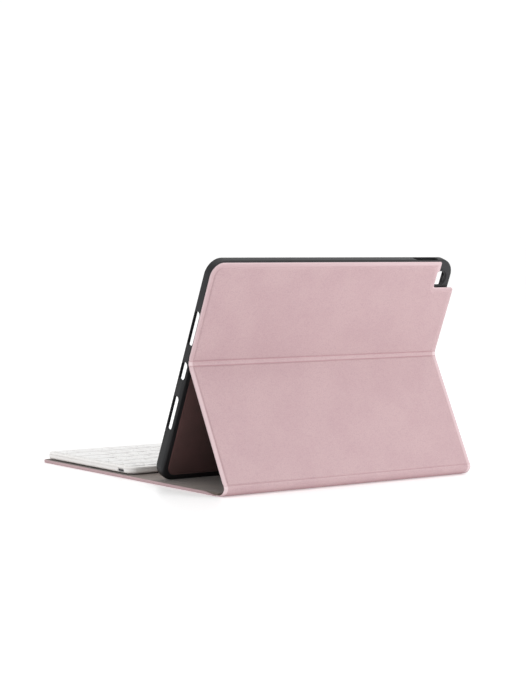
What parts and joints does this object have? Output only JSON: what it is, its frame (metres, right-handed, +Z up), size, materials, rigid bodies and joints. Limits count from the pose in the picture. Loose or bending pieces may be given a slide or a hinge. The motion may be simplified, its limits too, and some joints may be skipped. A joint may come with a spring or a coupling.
{
  "type": "tablet keyboard case",
  "caption": "Folding leather-look cover with a kickstand panel, a moulded tray that holds a tablet, and a slim lift-off keyboard on the base panel.",
  "frame": {"origin": "centre of the base panel's underside, on the surface that the case stands on", "axes": "+X across the case to the side with the tablet's charging port, +Y from the typist's side to the back of the stand, +Z up"},
  "size_m": [0.261, 0.225, 0.1732],
  "materials": {
    "rose_faux_leather": "satin, fine pebble grain",
    "greyboard": "matte paperboard",
    "grey_microfibre": "brushed microfibre",
    "black_tpu": "satin moulded",
    "brown_liner": "matte",
    "foam_adhesive": "matte",
    "white_abs": "fine moulded texture",
    "white_keycap": "satin",
    "grey_switch": "satin",
    "clear_plastic": "gloss",
    "steel": "brushed",
    "nickel_magnet": "nickel plated",
    "circuit_laminate": "solder mask",
    "cell_foil": "foil",
    "grey_rubber": "matte"
  },
  "bodies": {
    "base": {"base_skin": "rose_faux_leather", "base_board": "greyboard", "base_lining": "grey_microfibre", "keyboard_magnet_front_left": "nickel_magnet", "keyboard_magnet_front_right": "nickel_magnet", "keyboard_magnet_rear_left": "nickel_magnet", "keyboard_magnet_rear_right": "nickel_magnet"},
    "spine": {"spine_skin": "rose_faux_leather", "spine_stiffener": "greyboard", "spine_lining": "grey_microfibre"},
    "kickstand": {"kickstand_skin": "rose_faux_leather", "kickstand_board": "greyboard", "kickstand_lining": "grey_microfibre"},
    "tray": {"upper_panel_skin": "rose_faux_leather", "upper_panel_board": "greyboard", "adhesive_pad": "foam_adhesive", "tray_shell": "black_tpu", "tray_back_liner": "brown_liner"},
    "keyboard": {"keyboard_top_case": "white_abs", "keyboard_bottom_case": "white_abs", "key_support_plate": "steel", "dome_membrane": "clear_plastic", "circuit_board": "circuit_laminate", "battery": "cell_foil", "charging_socket": "steel", "status_light": "clear_plastic", "steel_strip_left": "steel", "steel_strip_right": "steel", "keyboard_foot_front_left": "grey_rubber", "keyboard_foot_front_right": "grey_rubber", "keyboard_foot_rear_left": "grey_rubber", "keyboard_foot_rear_right": "grey_rubber"},
    "power_switch": {"power_switch": "grey_switch"},
    "key_escape": {"key_escape": "white_keycap"},
    "key_delete": {"key_delete": "white_keycap"},
    "key_tab": {"key_tab": "white_keycap"},
    "key_caps_lock": {"key_caps_lock": "white_keycap"},
    "key_return": {"key_return": "white_keycap"},
    "key_left_shift": {"key_left_shift": "white_keycap"},
    "key_right_shift": {"key_right_shift": "white_keycap"},
    "key_fn": {"key_fn": "white_keycap"},
    "key_control": {"key_control": "white_keycap"},
    "key_left_option": {"key_left_option": "white_keycap"},
    "key_left_command": {"key_left_command": "white_keycap"},
    "key_space": {"key_space": "white_keycap"},
    "key_right_command": {"key_right_command": "white_keycap"},
    "key_right_option": {"key_right_option": "white_keycap"},
    "key_arrow_left": {"key_arrow_left": "white_keycap"},
    "key_arrow_up_down": {"key_arrow_up_down": "white_keycap"},
    "key_arrow_right": {"key_arrow_right": "white_keycap"},
    "function_keys": {"function_keys": "white_keycap"},
    "number_keys": {"number_keys": "white_keycap"},
    "upper_letter_keys": {"upper_letter_keys": "white_keycap"},
    "middle_letter_keys": {"middle_letter_keys": "white_keycap"},
    "lower_letter_keys": {"lower_letter_keys": "white_keycap"}
  },
  "joints": [
    {"name": "spine_fold", "type": "hinge", "parent": "base", "child": "spine", "pos_m": [0, 0.1085, 0.00025], "axis": [1, 0, 0], "range_deg": [-40, 0]},
    {"name": "stand_fold", "type": "hinge", "parent": "spine", "child": "kickstand", "pos_m": [0, 0.11638, 0.00686], "axis": [1, 0, 0], "range_deg": [-77.21, 0]},
    {"name": "crease_fold", "type": "hinge", "parent": "kickstand", "child": "tray", "pos_m": [0, 0.07155, 0.09401], "axis": [1, 0, 0], "range_deg": [0, 45.72]},
    {"name": "keyboard_lift", "type": "slide", "parent": "base", "child": "keyboard", "axis": [0, 0, 1], "range_m": [0, 0.04]},
    {"name": "power_switch_slide", "type": "slide", "parent": "keyboard", "child": "power_switch", "axis": [1, 0, 0], "range_m": [0, 0.0025]},
    {"name": "key_escape_press", "type": "slide", "parent": "keyboard", "child": "key_escape", "axis": [0, 0, 1], "range_m": [-0.001, 0], "stiffness_N_per_m": 400, "springref_m": 0.0002},
    {"name": "key_delete_press", "type": "slide", "parent": "keyboard", "child": "key_delete", "axis": [0, 0, 1], "range_m": [-0.001, 0], "stiffness_N_per_m": 400, "springref_m": 0.0002},
    {"name": "key_tab_press", "type": "slide", "parent": "keyboard", "child": "key_tab", "axis": [0, 0, 1], "range_m": [-0.001, 0], "stiffness_N_per_m": 400, "springref_m": 0.0002},
    {"name": "key_caps_lock_press", "type": "slide", "parent": "keyboard", "child": "key_caps_lock", "axis": [0, 0, 1], "range_m": [-0.001, 0], "stiffness_N_per_m": 400, "springref_m": 0.0002},
    {"name": "key_return_press", "type": "slide", "parent": "keyboard", "child": "key_return", "axis": [0, 0, 1], "range_m": [-0.001, 0], "stiffness_N_per_m": 400, "springref_m": 0.0002},
    {"name": "key_left_shift_press", "type": "slide", "parent": "keyboard", "child": "key_left_shift", "axis": [0, 0, 1], "range_m": [-0.001, 0], "stiffness_N_per_m": 400, "springref_m": 0.0002},
    {"name": "key_right_shift_press", "type": "slide", "parent": "keyboard", "child": "key_right_shift", "axis": [0, 0, 1], "range_m": [-0.001, 0], "stiffness_N_per_m": 400, "springref_m": 0.0002},
    {"name": "key_fn_press", "type": "slide", "parent": "keyboard", "child": "key_fn", "axis": [0, 0, 1], "range_m": [-0.001, 0], "stiffness_N_per_m": 400, "springref_m": 0.0002},
    {"name": "key_control_press", "type": "slide", "parent": "keyboard", "child": "key_control", "axis": [0, 0, 1], "range_m": [-0.001, 0], "stiffness_N_per_m": 400, "springref_m": 0.0002},
    {"name": "key_left_option_press", "type": "slide", "parent": "keyboard", "child": "key_left_option", "axis": [0, 0, 1], "range_m": [-0.001, 0], "stiffness_N_per_m": 400, "springref_m": 0.0002},
    {"name": "key_left_command_press", "type": "slide", "parent": "keyboard", "child": "key_left_command", "axis": [0, 0, 1], "range_m": [-0.001, 0], "stiffness_N_per_m": 400, "springref_m": 0.0002},
    {"name": "key_space_press", "type": "slide", "parent": "keyboard", "child": "key_space", "axis": [0, 0, 1], "range_m": [-0.001, 0], "stiffness_N_per_m": 400, "springref_m": 0.0002},
    {"name": "key_right_command_press", "type": "slide", "parent": "keyboard", "child": "key_right_command", "axis": [0, 0, 1], "range_m": [-0.001, 0], "stiffness_N_per_m": 400, "springref_m": 0.0002},
    {"name": "key_right_option_press", "type": "slide", "parent": "keyboard", "child": "key_right_option", "axis": [0, 0, 1], "range_m": [-0.001, 0], "stiffness_N_per_m": 400, "springref_m": 0.0002},
    {"name": "key_arrow_left_press", "type": "slide", "parent": "keyboard", "child": "key_arrow_left", "axis": [0, 0, 1], "range_m": [-0.001, 0], "stiffness_N_per_m": 400, "springref_m": 0.0002},
    {"name": "key_arrow_up_down_press", "type": "slide", "parent": "keyboard", "child": "key_arrow_up_down", "axis": [0, 0, 1], "range_m": [-0.001, 0], "stiffness_N_per_m": 400, "springref_m": 0.0002},
    {"name": "key_arrow_right_press", "type": "slide", "parent": "keyboard", "child": "key_arrow_right", "axis": [0, 0, 1], "range_m": [-0.001, 0], "stiffness_N_per_m": 400, "springref_m": 0.0002},
    {"name": "function_keys_press", "type": "slide", "parent": "keyboard", "child": "function_keys", "axis": [0, 0, 1], "range_m": [-0.001, 0], "stiffness_N_per_m": 2000, "springref_m": 0.0002},
    {"name": "number_keys_press", "type": "slide", "parent": "keyboard", "child": "number_keys", "axis": [0, 0, 1], "range_m": [-0.001, 0], "stiffness_N_per_m": 2000, "springref_m": 0.0002},
    {"name": "upper_letter_keys_press", "type": "slide", "parent": "keyboard", "child": "upper_letter_keys", "axis": [0, 0, 1], "range_m": [-0.001, 0], "stiffness_N_per_m": 2000, "springref_m": 0.0002},
    {"name": "middle_letter_keys_press", "type": "slide", "parent": "keyboard", "child": "middle_letter_keys", "axis": [0, 0, 1], "range_m": [-0.001, 0], "stiffness_N_per_m": 2000, "springref_m": 0.0002},
    {"name": "lower_letter_keys_press", "type": "slide", "parent": "keyboard", "child": "lower_letter_keys", "axis": [0, 0, 1], "range_m": [-0.001, 0], "stiffness_N_per_m": 2000, "springref_m": 0.0002}
  ],
  "couplings": [
    {"joint": "crease_fold", "follows": "stand_fold", "ratio": -0.5921}
  ]
}
